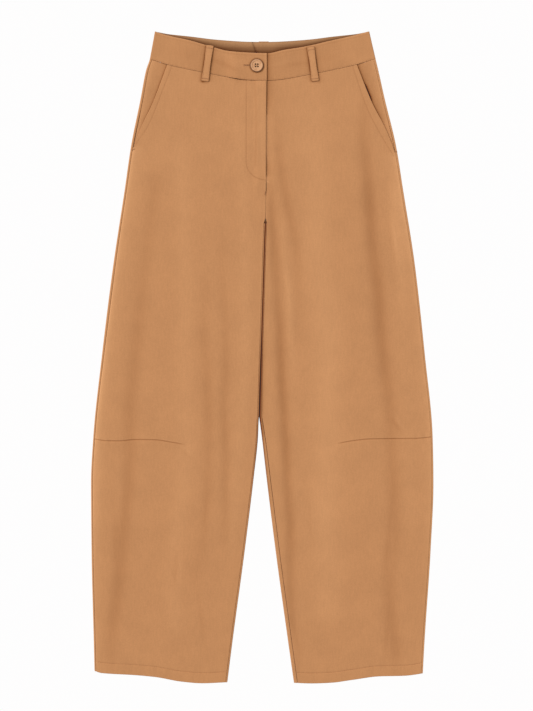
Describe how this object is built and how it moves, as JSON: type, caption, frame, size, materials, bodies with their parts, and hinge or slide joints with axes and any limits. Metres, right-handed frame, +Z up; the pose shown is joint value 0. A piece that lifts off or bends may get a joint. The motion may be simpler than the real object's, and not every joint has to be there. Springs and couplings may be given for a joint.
{
  "type": "barrel leg trousers",
  "caption": "Barrel leg trousers laid flat: wide curved legs with knee darts, slant pockets, a stitched fly, a buttoned waistband and belt loops.",
  "frame": {"origin": "centre of the garment's outline on the surface that it lies on", "axes": "+Y from the hems to the waist, +X to the wearer's left, +Z up from the surface, front side up"},
  "size_m": [0.5482, 1.0434, 0.0106],
  "materials": {
    "twill": "matt cotton twill",
    "twill_inside": "matt cotton twill, inner side",
    "button_resin": "satin resin"
  },
  "bodies": {
    "root": {"front_panel_right": "twill", "front_panel_left": "twill", "back_panel_right": "twill", "back_panel_left": "twill", "pocket_facing_right": "twill", "pocket_facing_left": "twill", "fly_facing": "twill_inside", "waistband_right": "twill", "waistband_left": "twill", "belt_loop_front_right": "twill", "belt_loop_front_left": "twill", "belt_loop_back_centre": "twill", "button": "button_resin"}
  },
  "joints": []
}
